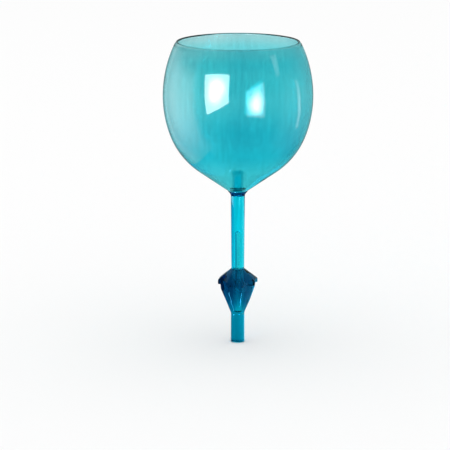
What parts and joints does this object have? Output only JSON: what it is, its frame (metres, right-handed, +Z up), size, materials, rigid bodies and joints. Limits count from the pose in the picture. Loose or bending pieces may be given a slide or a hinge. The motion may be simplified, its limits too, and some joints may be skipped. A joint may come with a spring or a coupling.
{
  "type": "lawn drinks glass",
  "caption": "Clear tinted balloon drinks glass on a slim stem, with a gem-cut knob and a ground spike in one that is pushed into a lawn; its four mouldings pull apart.",
  "frame": {"origin": "on the upright axis, at the ground line of the spike, level with the surface of the lawn", "axes": "+Z up along the stem to the mouth of the bowl; the object is round about Z, and -Y is the side that faces the viewer"},
  "size_m": [0.11, 0.11, 0.3215],
  "materials": {
    "clear_aqua": "thin transparent aqua-tinted plastic, polished",
    "solid_aqua": "thick transparent aqua-tinted plastic, polished",
    "deep_blue": "thick transparent deep-blue plastic, polished facets"
  },
  "bodies": {
    "spike_body": {"knob_spike": "deep_blue"},
    "stem_body": {"stem": "solid_aqua"},
    "collar_body": {"joint_collar": "deep_blue"},
    "bowl_body": {"bowl": "clear_aqua"}
  },
  "joints": [
    {"name": "stem_pull", "type": "slide", "parent": "spike_body", "child": "stem_body", "axis": [0, 0, 1], "range_m": [0, 0.014]},
    {"name": "collar_pull", "type": "slide", "parent": "stem_body", "child": "collar_body", "axis": [0, 0, 1], "range_m": [0, 0.015]},
    {"name": "bowl_pull", "type": "slide", "parent": "collar_body", "child": "bowl_body", "axis": [0, 0, 1], "range_m": [0, 0.012]}
  ]
}
